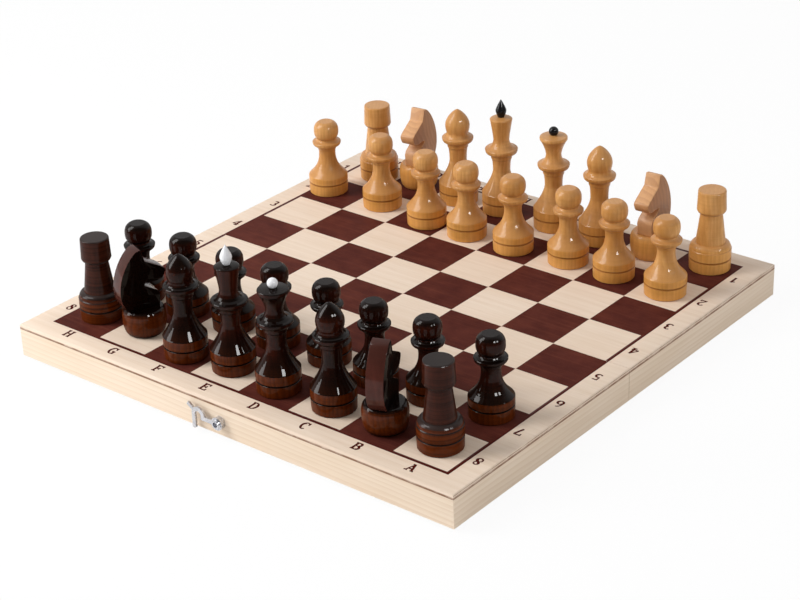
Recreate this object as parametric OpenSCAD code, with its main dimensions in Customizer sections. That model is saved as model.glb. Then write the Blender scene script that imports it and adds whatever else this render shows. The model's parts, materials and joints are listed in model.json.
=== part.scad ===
// Folding chess board with its thirty-two turned chessmen, standing ready to play.
// The board is two shallow trays, hinged at the fold. Closed mouth to mouth, they make a box for the men.
// +X runs along the fold, +Y from the latch side to the far side, +Z up.
// The origin is on the table, under the middle of the board.

/* [Playing field] */
// Side of one square
square_w = 32.9; // [29:0.1:40]
// Bare border from the outer squares to the edge of the board
border_w = 13.4; // [11:0.1:20]
// Width of the line printed round the squares
line_w = 0.7; // [0.4:0.1:1.2]
// Depth of the printed squares and line, let into the panel
print_t = 0.2; // [0.1:0.05:0.4]
// Bare joint left round each printed square
print_gap = 0.05; // [0.05:0.01:0.2]

/* [Board trays] */
// Height of one tray, from its mouth to the playing face
tray_h = 18.5; // [16:0.5:30]
// Thickness of the plywood panel
panel_t = 2.5; // [2:0.1:4]
// Thickness of the rails round each tray
rail_t = 9; // [8:0.5:12]
// Gap between the two trays at the fold
seam = 0.3; // [0.2:0.05:0.8]
// Gap left between the mouths when the board is closed
closed_gap = 0.1; // [0.05:0.05:0.5]

/* [Hinges] */
// Distance of each hinge from the middle of the fold
hinge_x = 88; // [60:1:110]
// Length of each hinge
hinge_len = 24; // [18:1:36]
// Diameter of the hinge barrel
barrel_d = 2.2; // [2:0.1:3]
// Diameter of the hinge pin
pin_d = 1; // [0.8:0.1:1.2]
// Radial clearance of the turning knuckle on its pin
pin_clear = 0.05; // [0.03:0.01:0.1]
// Gap between neighbouring knuckles
knuckle_gap = 0.2; // [0.1:0.05:0.4]
// Thickness of the hinge leaves
leaf_t = 0.5; // [0.4:0.05:0.7]
// Height of the leaves above the pin
leaf_h = 9; // [8:0.5:12]
// Distance of each leaf screw from the middle of its hinge
screw_x = 8; // [6:0.5:8.5]
// Diameter of a leaf screw's shank
screw_d = 1.4; // [1:0.1:1.8]
// Diameter of a leaf screw's head
screw_head_d = 2.6; // [2.2:0.1:3.2]
// Length of a leaf screw
screw_len = 6; // [4:0.5:7]

/* [Latch] */
// Place of the hook's pivot along the front rail
hook_x = 0; // [-40:1:40]
// Height of the pivot above the mouth of its tray
hook_z = 7.5; // [7:0.1:9]
// Height of the catch stud above the mouth of its tray
stud_z = 5; // [4:0.1:7]
// Width of the hook's arm
hook_w = 2.3; // [1.8:0.1:2.8]
// Thickness of the hook
hook_t = 1.2; // [0.8:0.1:1.6]
// Width of the slot that takes the catch stud
slot_w = 3.8; // [3.6:0.1:4.6]
// Reach of the slot's legs below the arm's centre line
hook_leg = 7.2; // [6:0.1:7.4]
// Width of the thumb tab
tab_w = 1.8; // [1.2:0.1:2.4]
// Length of the thumb tab
tab_len = 5.2; // [4:0.1:7]
// Diameter of the round eye of the hook
hook_eye_d = 7; // [6:0.1:7.6]
// Diameter of the rivet that the hook turns on
rivet_d = 3.6; // [3.2:0.1:4]
// Radial clearance of the hook on its rivet
rivet_clear = 0.05; // [0.03:0.01:0.1]
// Diameter of the rivet's shoulder, behind the hook
shoulder_d = 6.8; // [6:0.1:9]
// Thickness of the rivet's shoulder
shoulder_t = 1.6; // [1.2:0.1:2]
// Diameter of the rivet's formed head
rivet_head_d = 5.4; // [4.8:0.1:6]
// Wall of the tubular rivet
rivet_wall = 0.4; // [0.3:0.05:0.6]
// Thickness of the rivet's formed head
rivet_head_t = 1; // [0.6:0.1:1.4]
// How much narrower a rivet or stud head is at its face
head_bevel = 0.8; // [0.4:0.1:1.2]
// Side play of the hook between shoulder and head
hook_play = 0.1; // [0.05:0.05:0.2]
// Depth to which the rivet and the stud go into their rails
shank_len = 7; // [5:0.5:7.5]
// Diameter of the catch stud's neck
stud_d = 2.8; // [2.2:0.1:3.2]
// Diameter of the catch stud's head
stud_head_d = 4.8; // [4.4:0.1:5.4]
// Thickness of the catch stud's head
stud_head_t = 0.9; // [0.6:0.1:1.2]

/* [Feet of the men] */
// Diameter of the turned feet
foot_d = 23.1; // [20:0.1:26]
// How much narrower a foot is where it stands
foot_taper = 0.4; // [0.4:0.1:2]
// Height of the groove round the foot
groove_z = 7; // [5:0.1:8]
// Width of the groove
groove_w = 1; // [0.6:0.1:1.6]
// Depth of the groove
groove_depth = 0.6; // [0.3:0.1:1]
// Height of the foot, up to the edge of its shoulder
foot_h = 12.8; // [11:0.1:15]
// Edge taken off the foot at its bottom
foot_edge = 0.5; // [0.2:0.1:0.9]
// Edge taken off the foot's shoulder
shoulder_edge = 0.4; // [0.1:0.1:0.8]

/* [Stems of the king, queens and bishops] */
// Height of the hollow flare above the foot
flare_h = 13; // [9:0.1:16]
// Diameter of the narrowest place of the stem
stem_d = 10.1; // [8:0.1:12]
// Height of the stem from there to the collar
stem_h = 7.5; // [5:0.1:10]
// Height of the hollow under the collar
under_collar_h = 3.2; // [2:0.1:5]
// Thickness of the collar
collar_t = 2.8; // [2:0.1:4]
// How far every collar's underside runs in
collar_slope = 1.2; // [0.6:0.1:1.6]
// Rounding of every collar's upper edge
collar_edge = 0.3; // [0.1:0.1:0.6]
// Step cut in under that edge
collar_step = 0.5; // [0.2:0.1:0.8]

/* [King] */
// Diameter of the collar
king_collar_d = 19; // [15:0.1:21]
// Height of the hollow above the collar
king_neck_h = 5.5; // [3.5:0.1:7]
// Diameter of the crown where it starts
king_neck_d = 9.2; // [7.5:0.1:10.5]
// Height of the crown
king_crown_h = 13.6; // [10:0.1:16]
// Diameter of the crown at its rim
king_crown_d = 13; // [11.5:0.1:15]
// Height of the rounding on top of the crown
king_dome_h = 1.2; // [0.6:0.1:2]
// Height of the finial above the crown
finial_h = 10.8; // [8:0.1:14]
// Diameter of the finial
finial_d = 6.3; // [5:0.1:8]
// Diameter of the face that a finial or ball is glued down on
seat_d = 3.6; // [3:0.1:3.9]
// Diameter of the peg under a finial or ball
finial_peg_d = 2.4; // [1.6:0.1:2.8]
// Length of that peg
finial_peg_len = 5; // [3:0.5:8]

/* [Queen] */
// Diameter of the collar
queen_collar_d = 18.4; // [15:0.1:21]
// Height of the hollow above the collar
queen_neck_h = 5.6; // [3.5:0.1:7]
// Diameter of the crown where it starts
queen_neck_d = 8.8; // [7:0.1:10.5]
// Height of the crown
queen_crown_h = 11.6; // [9:0.1:14]
// Diameter of the crown at its rim
queen_crown_d = 15.9; // [14:0.1:18]
// Height of the crown's rounded rim
queen_rim_h = 2.2; // [1.4:0.1:3]
// Height of the cone inside the rim
queen_cone_h = 0.8; // [0.2:0.1:1]
// How far the rim bulges
queen_rim_bulge = 0.4; // [0.1:0.1:0.6]
// Diameter of the ball on the crown
ball_d = 5.5; // [4:0.1:7]

/* [Bishop] */
// How much longer the stem is than the king's
bishop_rise = 1.2; // [0:0.1:2.5]
// Diameter of the collar
bishop_collar_d = 18.4; // [15:0.1:21]
// Height of the hollow above the collar
bishop_neck_h = 2.9; // [2:0.1:5]
// Diameter of the head where it starts
bishop_neck_d = 12.8; // [11:0.1:13.5]
// Height of the pointed head
bishop_head_h = 14.2; // [11:0.1:18]
// Diameter of the head
bishop_head_d = 14.3; // [13.6:0.1:17]

/* [Rook] */
// Height of the rounded shoulder above the foot
rook_shoulder_h = 3.2; // [2:0.1:5]
// Diameter at the bottom of the tower
rook_tower_d = 16.4; // [14:0.1:18]
// Height of the tower
rook_tower_h = 17.4; // [13:0.1:21]
// Diameter at the top of the tower
rook_waist_d = 12; // [10:0.1:13.5]
// Height of the head
rook_head_h = 13.1; // [10:0.1:17]
// Diameter of the head at its foot
rook_head_d = 16.1; // [15:0.1:19]
// How much narrower the head is at its top
rook_head_taper = 0.8; // [0.2:0.1:2.5]
// Height of the spread under the head
rook_spread_h = 1.6; // [0.8:0.1:4]
// Step from the tower out to the head
rook_step = 0.9; // [0.2:0.1:1.2]
// Rounding of the head's upper edge
rook_edge = 0.8; // [0.3:0.1:1.2]

/* [Pawn] */
// Height of the pawn's foot, up to its shoulder
pawn_foot_h = 10.9; // [9:0.1:12]
// Height of the shoulder above the foot
pawn_shoulder_h = 13.5; // [11:0.1:16]
// Diameter of the neck
pawn_neck_d = 9.8; // [8.5:0.1:12]
// Height of the neck
pawn_neck_h = 3.3; // [2:0.1:5]
// Height of the hollow under the collar
pawn_under_h = 2; // [1.5:0.1:4]
// Diameter of the collar
pawn_collar_d = 16.9; // [15:0.1:20]
// Thickness of the collar
pawn_collar_t = 2.5; // [2:0.1:4]
// Height of the hollow above the collar
pawn_over_h = 1.8; // [1.5:0.1:4]
// Height of the head
pawn_head_h = 10.4; // [9:0.1:13]
// Diameter of the head
pawn_head_d = 14.6; // [13:0.1:17]
// Diameter of the flat on top of the head
pawn_top_d = 8.4; // [5:0.1:10]
// Diameter of the waist between collar and head
pawn_waist_d = 11.3; // [10:0.1:12.6]

/* [Knight] */
// Diameter of the knight's turned foot
knight_foot_d = 23.2; // [20:0.1:26]
// Height of the knight's turned foot
knight_foot_h = 14.6; // [12:0.1:18]
// Diameter on which the knight's foot stands
knight_stand_d = 17.6; // [15:0.1:19]
// Diameter of the flat that the head stands on
knight_seat_d = 19; // [18.6:0.1:20]
// Thickness of the sawn head
knight_t = 9; // [7:0.1:11]
// Height of the head above the foot
knight_head_h = 34; // [30:0.1:40]
// Length of the head from the mane to the nose
knight_reach = 25; // [22:0.1:30]
// Diameter of the glued peg under the head
peg_d = 6; // [4:0.1:8]
// Length of that peg
peg_len = 7; // [4:0.1:10]
// Glue gap round a peg
glue_gap = 0.05; // [0.03:0.01:0.1]

/* [Hidden] */
$fn = 96;
FILES = "hgfedcba";
// Lap that joins a peg to its ball or head, and the spare depth of a blind hole
peg_lap = 0.5;

// Board
field = 8 * square_w;
board = field + 2 * border_w;
axis_z = barrel_d / 2;
mouth_z = axis_z + closed_gap / 2;
top_z = mouth_z + tray_h;
rail_h = tray_h - panel_t;
tray_d = (board - seam) / 2;

// Hinge
relief_r = barrel_d / 2 + knuckle_gap;
knuckle = (hinge_len - 2 * knuckle_gap) / 3;
leaf_screw_h = 0.6 * leaf_h;
pocket_play = 0.1;

// Latch
hook_back = board / 2 + shoulder_t + hook_play;
hook_front = hook_back + hook_t;
latch_out = hook_front + hook_play + rivet_head_t;
catch_r = hook_z + stud_z + closed_gap;
slot_top = 1.3;

// Men: how far each one stands off the middle of its square, as a share of the square,
// from the h file to the a file
white_officer_shift = concat(
    [[0.12, 0.04], [-0.03, 0.15], [-0.02, 0.02], [-0.12, 0.1]],
    [[0.02, 0.06], [-0.02, 0.04], [0.02, 0.05], [0.08, 0.2]]
);
white_pawn_shift = concat(
    [[-0.24, 0.02], [-0.01, 0.06], [0.11, -0.08], [-0.01, -0.08]],
    [[-0.02, -0.08], [0.03, 0.04], [-0.05, 0.03], [-0.02, -0.02]]
);
black_pawn_shift = concat(
    [[0.07, -0.04], [0.01, 0.03], [0, 0.06], [-0.06, 0.07]],
    [[-0.02, 0.09], [-0.02, 0.01], [-0.03, 0.05], [0.03, 0.17]]
);
black_officer_shift = concat(
    [[-0.01, 0.08], [-0.06, 0.12], [0.05, -0.09], [-0.05, 0.03]],
    [[-0.04, -0.06], [0, 0], [0, -0.02], [-0.03, 0.03]]
);
// Way that each knight's nose points, for the g file and the b file
white_knight_turn = [-84, -87];
black_knight_turn = [70, 110];

// Men: radii, and heights that several pieces share
foot_r = foot_d / 2;
stem_spread = 1;
neck_spread = 0.6;
stem_top_r = stem_d / 2 + stem_spread;
collar_z = foot_h + flare_h + stem_h + under_collar_h + collar_t;
king_h = collar_z + king_neck_h + king_crown_h;
queen_h = collar_z + queen_neck_h + queen_crown_h;
pawn_neck_r = pawn_neck_d / 2;

// Men: how full their round parts are, and where those are widest, as shares of their size
ball_fullness = 0.8;
bulb_widest = 0.3;
finial_widest = 0.4;
knight_foot_widest = 0.55;
knight_foot_band_h = 2;
shoulder_round = 0.1;
shoulder_rise = 0.68;

// Outline of the knight's head: share of its reach from the peg to the nose, share of its height.
// The mane is one curve from the poll down to the foot; the face, jaw and chest are points.
mane = [[-0.13, 0.985], [-0.42, 0.85], [-0.78, 0.3], [-0.38, 0]];
chest = [[0.3, 0], [0.33, 0.2], [0.28, 0.27]];
throat = [[0.04, 0.375], [0, 0.395], [0, 0.42], [0.04, 0.44]];
jaw = [[0.26, 0.43], [0.4, 0.445], [0.45, 0.49]];
face = [[0.49, 0.56], [0.485, 0.6], [0.4, 0.65], [0.05, 0.8], [-0.03, 1]];

WHITE = "burlywood";
BARE = "#e6bd98";
BLACK = "#33170f";
EBONY = "#141414";
IVORY = "ivory";
BIRCH = "#ecd9bf";
PINE = "#e6cfa9";
PRINT = "#4f1f1c";
STEEL = "silver";

function file_x(i) = (i - 3.5) * square_w;
function rank_y(r) = (4.5 - r) * square_w;
function is_dark(i, r) = (i + r) % 2 == 0;
function man(side, kind, i) = str(side, "_", kind, "_", FILES[i]);

function men(side) = concat(
    [for (i = [0:7]) man(side, "pawn", i)],
    [for (i = [0, 7]) man(side, "rook", i)],
    [for (i = [1, 6]) man(side, "knight_foot", i)],
    [for (i = [1, 6]) man(side, "knight_head", i)],
    [for (i = [2, 5]) man(side, "bishop", i)],
    [str(side, "_queen"), str(side, "_queen_ball"), str(side, "_king"), str(side, "_king_finial")]
);

// ---- profile curves, each a list of [radius, height] ----

// Hollow that runs out upwards into a straight stem
function flare(r0, z0, r1, h, n = 9) =
    [for (k = [0:n]) let (t = k / n) [r0 + (r1 - r0) * (0.3 * t + 0.7 * sin(90 * t)), z0 + h * t]];

// Point at share t of a curve drawn by four control points
function bezier(p, t) =
    pow(1 - t, 3) * p[0] + 3 * t * pow(1 - t, 2) * p[1] + 3 * t * t * (1 - t) * p[2] + pow(t, 3) * p[3];

// S-shaped shoulder, round below and hollow above, that runs up into a straight neck
function shoulder(r0, z0, r1, h, n = 12) =
    let (low = [r0, z0 + shoulder_round * h], high = [r1, z0 + (1 - shoulder_rise) * h])
    [for (k = [0:n]) bezier([[r0, z0], low, high, [r1, z0 + h]], k / n)];

// Hollow that opens upwards, as under a collar
function cove(r0, z0, r1, h, n = 5) =
    [for (k = [0:n]) let (t = 90 * k / n) [r0 + (r1 - r0) * (1 - cos(t)), z0 + h * sin(t)]];

// Hollow that closes upwards, as on top of a collar
function top_cove(r0, z0, r1, h, n = 5) =
    [for (k = [0:n]) let (t = 90 * k / n) [r1 + (r0 - r1) * (1 - sin(t)), z0 + h * (1 - cos(t))]];

// Flare that opens upwards from r0 to r1, hollow where power is over 1 and round where it is under
function spread(r0, z0, r1, h, n, power) =
    [for (k = [0:n]) let (t = k / n) [r0 + (r1 - r0) * pow(t, power), z0 + h * t]];

// Rounded edge that bulges from r by b over a height h
function bead(r, b, z0, h, n = 6) =
    [for (k = [0:n]) let (t = 180 * k / n) [r + b * sin(t), z0 + h * (1 - cos(t)) / 2]];

// Rounded shoulder that closes upwards from r0 to r1
function round_over(r0, z0, r1, h, n = 6) =
    [for (k = [0:n]) let (t = 90 * k / n) [r1 + (r0 - r1) * cos(t), z0 + h * sin(t)]];

// Foot with its groove, up to a shoulder at height h
function foot(h) = [
    [0, 0],
    [foot_r - foot_taper / 2 - foot_edge, 0],
    [foot_r - foot_taper / 2, foot_edge],
    [foot_r, groove_z - groove_w / 2],
    [foot_r - groove_depth, groove_z - groove_w / 8],
    [foot_r - groove_depth, groove_z + groove_w / 8],
    [foot_r, groove_z + groove_w / 2],
    [foot_r, h - shoulder_edge]
];

// Collar whose underside runs out and up to a narrow upper edge
function collar(r, z0, h, n = 5) = concat(
    [for (k = [0:n]) let (t = 90 * k / n)
        [r - collar_slope * (1 - sin(t)), z0 + (h - collar_edge) * (1 - cos(t))]],
    [[r - collar_edge, z0 + h]]
);

// Foot, flare, stem and collar shared by the king, queen and bishop; rise makes the stem longer
function tall_stem(collar_d, rise = 0) =
    let (stem_z = foot_h + flare_h, under_z = stem_z + stem_h + rise)
    concat(
        foot(foot_h),
        flare(foot_r - shoulder_edge, foot_h, stem_d / 2, flare_h),
        cove(stem_d / 2, stem_z, stem_top_r, stem_h + rise, 4),
        cove(stem_top_r, under_z, collar_d / 2 - collar_slope - collar_step, under_collar_h),
        collar(collar_d / 2, under_z + under_collar_h, collar_t)
    );

module turned(profile) {
    rotate_extrude() polygon(profile);
}

// ---- men, each standing at the origin ----

module pawn(paint) {
    neck_z = pawn_foot_h + pawn_shoulder_h;
    under_z = neck_z + pawn_neck_h;
    edge_z = under_z + pawn_under_h;
    over_z = edge_z + pawn_collar_t;
    head_z = over_z + pawn_over_h;
    // the head is a flattened ball with full sides, cut off at the waist and flat on top
    waist_a = acos(pow(pawn_waist_d / pawn_head_d, 1 / ball_fullness));
    top_a = acos(pow(pawn_top_d / pawn_head_d, 1 / ball_fullness));
    low = pow(sin(waist_a), ball_fullness);
    ball_h = pawn_head_h / (pow(sin(top_a), ball_fullness) + low);
    collar_r = pawn_collar_d / 2;
    under_r = collar_r - collar_slope - collar_step;
    color(paint) turned(concat(
        foot(pawn_foot_h),
        shoulder(foot_r, pawn_foot_h, pawn_neck_r, pawn_shoulder_h),
        cove(pawn_neck_r, neck_z, pawn_neck_r + neck_spread, pawn_neck_h, 3),
        cove(pawn_neck_r + neck_spread, under_z, under_r, pawn_under_h, 4),
        collar(collar_r, edge_z, pawn_collar_t),
        top_cove(collar_r - collar_edge, over_z, pawn_waist_d / 2, pawn_over_h),
        [for (k = [0:14]) let (t = -waist_a + (top_a + waist_a) * k / 14)
            [
                pawn_head_d / 2 * pow(cos(t), ball_fullness),
                head_z + ball_h * (low + sign(sin(t)) * pow(abs(sin(t)), ball_fullness))
            ]],
        [[0, head_z + pawn_head_h]]
    ));
}

module rook(paint) {
    head_z = foot_h + rook_shoulder_h + rook_tower_h;
    top = head_z + rook_head_h;
    top_r = (rook_head_d - rook_head_taper) / 2;
    color(paint) turned(concat(
        foot(foot_h),
        round_over(foot_r - shoulder_edge, foot_h, rook_tower_d / 2, rook_shoulder_h),
        [[rook_waist_d / 2, head_z]],
        spread(rook_waist_d / 2 + rook_step, head_z, rook_head_d / 2, rook_spread_h, 4, 0.6),
        round_over(top_r, top - rook_edge, top_r - rook_edge, rook_edge, 4),
        [[0, top]]
    ));
}

// Bishop's head: a bulb that draws up to a point
function bulb(r0, r, z0, h) = [
    for (k = [0:16]) let (
        t = k / 16,
        low = sin(90 * min(t / bulb_widest, 1)),
        high = pow(max(cos(90 * max((t - bulb_widest) / (1 - bulb_widest), 0)), 0), 0.75)
    )
    [t < bulb_widest ? r0 + (r - r0) * low : r * high, z0 + h * t]
];

module bishop(paint) {
    over_z = collar_z + bishop_rise;
    edge_r = bishop_collar_d / 2 - collar_edge;
    neck_r = bishop_neck_d / 2;
    color(paint) turned(concat(
        tall_stem(bishop_collar_d, bishop_rise),
        top_cove(edge_r, over_z, neck_r, bishop_neck_h),
        bulb(neck_r, bishop_head_d / 2, over_z + bishop_neck_h, bishop_head_h)
    ));
}

// Blind hole for a peg in a crown of height h
module crown_hole(h) {
    translate([0, 0, h - finial_peg_len - peg_lap])
        cylinder(d = finial_peg_d + 2 * glue_gap, h = finial_peg_len + 2 * peg_lap);
}

module queen(paint) {
    neck_z = collar_z + queen_neck_h;
    rim_z = queen_h - queen_cone_h - queen_rim_h;
    rim_r = queen_crown_d / 2 - queen_rim_bulge;
    color(paint) difference() {
        turned(concat(
            tall_stem(queen_collar_d),
            top_cove(queen_collar_d / 2 - collar_edge, collar_z, queen_neck_d / 2, queen_neck_h),
            spread(queen_neck_d / 2, neck_z, rim_r, rim_z - neck_z, 8, 1.6),
            bead(rim_r, queen_rim_bulge, rim_z, queen_rim_h, 4),
            [[seat_d / 2, queen_h], [0, queen_h]]
        ));
        crown_hole(queen_h);
    }
}

module king(paint) {
    neck_z = collar_z + king_neck_h;
    dome_z = king_h - king_dome_h;
    color(paint) difference() {
        turned(concat(
            tall_stem(king_collar_d),
            top_cove(king_collar_d / 2 - collar_edge, collar_z, king_neck_d / 2, king_neck_h),
            spread(king_neck_d / 2, neck_z, king_crown_d / 2, dome_z - neck_z, 4, 1.2),
            round_over(king_crown_d / 2, dome_z, seat_d / 2, king_dome_h),
            [[0, king_h]]
        ));
        crown_hole(king_h);
    }
}

// Peg that reaches into a crown of height h
module peg(h) {
    translate([0, 0, h - finial_peg_len]) cylinder(d = finial_peg_d, h = finial_peg_len + peg_lap);
}

// Ball on a queen, with its peg
module queen_ball(paint) {
    sink = ball_d / 2 - sqrt(pow(ball_d / 2, 2) - pow(seat_d / 2, 2));
    color(paint) {
        peg(queen_h);
        intersection() {
            translate([0, 0, queen_h + ball_d / 2 - sink]) sphere(d = ball_d);
            translate([0, 0, queen_h]) cylinder(d = 2 * ball_d, h = 2 * ball_d);
        }
    }
}

// Drop-shaped finial on a king, with its peg
module king_finial(paint) {
    color(paint) {
        peg(king_h);
        translate([0, 0, king_h]) turned(concat(
            [[0, 0]],
            [for (k = [0:14]) let (
                t = k / 14,
                low = seat_d / 2 + (finial_d - seat_d) / 2 * sin(90 * min(t / finial_widest, 1)),
                high = finial_d / 2 * (1 - pow(max((t - finial_widest) / (1 - finial_widest), 0), 1.2))
            )
            [t < finial_widest ? low : high, finial_h * t]]
        ));
    }
}

module knight_foot(paint) {
    belly_z = knight_foot_widest * knight_foot_h;
    shoulder_z = belly_z + knight_foot_band_h;
    bulge = (knight_foot_d - knight_stand_d) / 2;
    color(paint) difference() {
        turned(concat(
            [[0, 0]],
            [for (k = [0:8]) let (t = 90 * k / 8)
                [knight_stand_d / 2 + bulge * sin(t), belly_z * (1 - cos(t))]],
            round_over(knight_foot_d / 2, shoulder_z, knight_seat_d / 2, knight_foot_h - shoulder_z),
            [[0, knight_foot_h]]
        ));
        translate([0, 0, knight_foot_h - peg_len - peg_lap])
            cylinder(d = peg_d + 2 * glue_gap, h = peg_len + 2 * peg_lap);
    }
}

// Flat sawn head of a knight with its peg. The nose points along +X.
module knight_head(paint) {
    outline = concat([for (k = [0:12]) bezier(mane, k / 12)], chest, throat, jaw, face);
    color(paint) translate([0, 0, knight_foot_h]) {
        rotate([90, 0, 0])
            linear_extrude(knight_t, center = true)
                polygon([for (p = outline) [p[0] * knight_reach, p[1] * knight_head_h]]);
        translate([0, 0, -peg_len]) cylinder(d = peg_d, h = peg_len + peg_lap);
    }
}

// ---- board ----

// Half of the squares, and the line round them, as flat shapes; side is -1 for the near half
module print_2d(side) {
    cell = square_w - 2 * print_gap;
    // half of the seam comes off the row of squares beside the fold
    for (i = [0:7], r = side < 0 ? [5:8] : [1:4]) {
        cut = r == 4 || r == 5 ? seam / 2 : 0;
        if (is_dark(i, r)) {
            translate([file_x(i), rank_y(r) + side * cut / 2]) square([cell, cell - cut], center = true);
        }
    }
    difference() {
        square(field + 2 * line_w, center = true);
        square(field, center = true);
        translate([-board, side < 0 ? -seam / 2 : seam / 2 - 2 * board]) square(2 * board);
    }
}

module panel(side) {
    color(BIRCH) difference() {
        translate([-board / 2, side < 0 ? -board / 2 : seam / 2, top_z - panel_t])
            cube([board, tray_d, panel_t]);
        translate([0, 0, top_z - print_t]) linear_extrude(panel_t) print_2d(side);
    }
}

module print(side) {
    color(PRINT) translate([0, 0, top_z - print_t]) linear_extrude(print_t) print_2d(side);
}

// Mitred rail lying along X, its outer face on y = 0 and its body towards +Y
module rail(len) {
    translate([0, 0, mouth_z]) linear_extrude(rail_h)
        polygon([[-len / 2, 0], [len / 2, 0], [len / 2 - rail_t, rail_t], [-len / 2 + rail_t, rail_t]]);
}

module side_rail(side, end) {
    color(PINE) translate([end * board / 2, side * (tray_d + seam) / 2])
        rotate(end * 90) rail(tray_d);
}

// Hole for a rivet or stud, driven into a rail from its face at y = board / 2
module shank_hole(z, d) {
    translate([hook_x, board / 2 + 1, z]) rotate([90, 0, 0]) cylinder(d = d, h = shank_len + 1);
}

module near_front_rail() {
    color(PINE) difference() {
        translate([0, -board / 2]) rail(board);
        mirror([0, 1, 0]) shank_hole(mouth_z + hook_z, rivet_d);
    }
}

module far_back_rail() {
    color(PINE) difference() {
        translate([0, board / 2]) rotate(180) rail(board);
        shank_hole(mouth_z + stud_z, stud_d);
    }
}

// Rail at the fold of the near tray, let in for the hinges
module near_fold_rail() {
    color(PINE) difference() {
        translate([0, -seam / 2]) rotate(180) rail(board);
        for (s = [-1, 1]) {
            translate([s * hinge_x, 0, 0]) {
                translate([-hinge_len / 2 - pocket_play, -seam / 2 - leaf_t, 0])
                    cube([hinge_len + 2 * pocket_play, leaf_t + 1, axis_z + leaf_h + pocket_play]);
                translate([0, 0, axis_z]) rotate([0, 90, 0])
                    cylinder(r = relief_r, h = hinge_len + 2 * pocket_play, center = true);
                for (q = [-1, 1]) {
                    translate([q * screw_x, 0, axis_z + leaf_screw_h]) rotate([90, 0, 0])
                        cylinder(d = screw_d, h = seam / 2 + screw_len);
                }
            }
        }
    }
}

module far_fold_rail() {
    mirror([0, 1, 0]) near_fold_rail();
}

// ---- hinges, drawn for the near tray ----

module along_x(d, len) {
    rotate([0, 90, 0]) cylinder(d = d, h = len, center = true);
}

// Countersunk screw with its head at y = -seam / 2 and its point towards -Y
module leaf_screw() {
    difference() {
        translate([0, -seam / 2, 0]) rotate([90, 0, 0]) {
            cylinder(d1 = screw_head_d, d2 = screw_d, h = leaf_t);
            cylinder(d = screw_d, h = screw_len - screw_d);
            translate([0, 0, screw_len - screw_d])
                cylinder(d1 = screw_d, d2 = 0.2, h = screw_d);
        }
        translate([-screw_head_d, -seam / 2 - leaf_t / 2, -0.2]) cube([2 * screw_head_d, 1, 0.4]);
    }
}

// One leaf: outer gives the two end knuckles, otherwise the middle one
module leaf(outer, bore_d) {
    step = knuckle + knuckle_gap;
    own = outer ? [-step, step] : [0];
    other = outer ? [0] : [-step, step];
    difference() {
        union() {
            translate([-hinge_len / 2, -seam / 2 - leaf_t, 0]) cube([hinge_len, leaf_t, leaf_h]);
            for (x = own) {
                translate([x, 0, 0]) along_x(barrel_d, knuckle);
            }
        }
        along_x(bore_d, hinge_len + 1);
        for (x = other) {
            translate([x, 0, 0]) along_x(2 * relief_r, knuckle + 2 * knuckle_gap);
        }
        for (q = [-1, 1]) {
            translate([q * screw_x, -seam / 2, leaf_screw_h]) rotate([90, 0, 0])
                cylinder(d1 = screw_head_d, d2 = screw_d, h = leaf_t);
        }
    }
}

module at_hinges() {
    for (s = [-1, 1]) {
        translate([s * hinge_x, 0, axis_z]) children();
    }
}

module near_hinge_leaves() {
    color(STEEL) at_hinges() leaf(true, pin_d);
}

module far_hinge_leaves() {
    color(STEEL) at_hinges() mirror([0, 1, 0]) leaf(false, pin_d + 2 * pin_clear);
}

module hinge_pins() {
    color(STEEL) at_hinges() along_x(pin_d, hinge_len);
}

module near_hinge_screws() {
    color(STEEL) at_hinges() {
        for (q = [-1, 1]) {
            translate([q * screw_x, 0, leaf_screw_h]) leaf_screw();
        }
    }
}

module far_hinge_screws() {
    mirror([0, 1, 0]) near_hinge_screws();
}

// ---- latch ----

// Flat shape of the hook about its pivot: X towards the tip, Y up
module hook_2d() {
    leg_in = catch_r - slot_w / 2 - hook_w;
    leg_out = catch_r + slot_w / 2;
    tip_r = hook_w / 2;
    difference() {
        union() {
            circle(d = hook_eye_d);
            translate([0, -hook_w / 2]) square([leg_in + hook_w, hook_w]);
            translate([leg_in, 0]) square([hook_w, slot_top]);
            // gooseneck over the slot
            difference() {
                translate([catch_r, slot_top]) circle(r = slot_w / 2 + hook_w);
                translate([0, slot_top - 2 * catch_r]) square(2 * catch_r);
            }
            // leg that closes behind the stud
            translate([leg_out, tip_r - hook_leg]) square([hook_w, hook_leg + slot_top - tip_r]);
            translate([leg_out + tip_r, tip_r - hook_leg]) circle(r = tip_r);
            // thumb tab
            translate([catch_r, slot_top]) rotate(35) translate([slot_w / 2 + tip_r, -tab_w / 2])
                square([tab_len, tab_w]);
        }
        translate([catch_r, slot_top]) circle(d = slot_w);
        translate([catch_r - slot_w / 2, -2 * hook_leg]) square([slot_w, 2 * hook_leg + slot_top]);
        circle(d = rivet_d + 2 * rivet_clear);
    }
}

module hook() {
    color(STEEL) translate([hook_x, -hook_back, mouth_z + hook_z])
        rotate([90, 0, 0]) linear_extrude(hook_t) mirror([1, 0]) hook_2d();
}

// Tubular rivet: shank in the rail, shoulder behind the hook, neck through it and formed head
module hook_rivet() {
    color(STEEL) translate([hook_x, 0, mouth_z + hook_z]) rotate([90, 0, 0]) difference() {
        union() {
            translate([0, 0, board / 2 - shank_len])
                cylinder(d = rivet_d, h = latch_out - board / 2 + shank_len - rivet_head_t / 2);
            translate([0, 0, board / 2]) cylinder(d = shoulder_d, h = shoulder_t);
            translate([0, 0, latch_out - rivet_head_t])
                cylinder(d1 = rivet_head_d, d2 = rivet_head_d - head_bevel, h = rivet_head_t);
        }
        translate([0, 0, hook_back]) cylinder(d = rivet_d - 2 * rivet_wall, h = latch_out);
    }
}

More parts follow.
